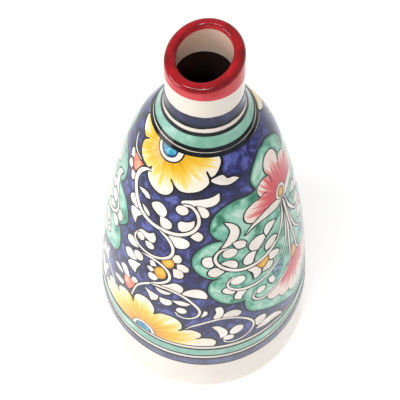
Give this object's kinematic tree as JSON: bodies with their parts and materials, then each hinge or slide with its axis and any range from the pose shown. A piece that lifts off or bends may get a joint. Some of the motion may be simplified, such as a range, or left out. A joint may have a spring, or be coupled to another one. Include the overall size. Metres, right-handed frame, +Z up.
{
  "type": "bottle vase",
  "caption": "Glazed earthenware bottle vase: wide base, tapering wall, slender neck with a slant-cut lip, hand painted with flowers and scrolls; holds stems.",
  "frame": {"origin": "centre of the standing ring, on the surface that the vase stands on", "axes": "+Z up along the axis of the vase; -Y is the front, and the mouth's high side is at the back right"},
  "size_m": [0.15, 0.15, 0.2525],
  "materials": {
    "bare_clay": "matte",
    "white_glaze": "gloss",
    "red_enamel": "gloss",
    "cobalt_enamel": "gloss",
    "mint_enamel": "gloss",
    "black_enamel": "gloss",
    "yellow_enamel": "gloss",
    "pink_enamel": "gloss"
  },
  "bodies": {
    "root": {"clay_body": "bare_clay", "white_glaze": "white_glaze", "red_lip_enamel": "red_enamel", "neck_cobalt_band": "cobalt_enamel", "neck_black_ring_top": "black_enamel", "neck_mint_band": "mint_enamel", "neck_black_ring_middle": "black_enamel", "neck_black_ring_bottom": "black_enamel", "foot_black_ring_top": "black_enamel", "foot_black_ring_upper": "black_enamel", "foot_mint_band": "mint_enamel", "foot_black_ring_lower": "black_enamel", "foot_black_ring_bottom": "black_enamel", "foot_blue_band": "cobalt_enamel", "cobalt_ground": "cobalt_enamel", "green_cartouche_right": "mint_enamel", "green_cartouche_left": "mint_enamel", "yellow_flower_upper_front": "yellow_enamel", "yellow_flower_upper_back": "yellow_enamel", "pink_flower_upper_right": "pink_enamel", "pink_flower_upper_left": "pink_enamel", "yellow_flower_lower_front": "yellow_enamel", "yellow_flower_lower_back": "yellow_enamel", "pink_flower_lower_right": "pink_enamel", "pink_flower_lower_left": "pink_enamel"}
  },
  "joints": []
}
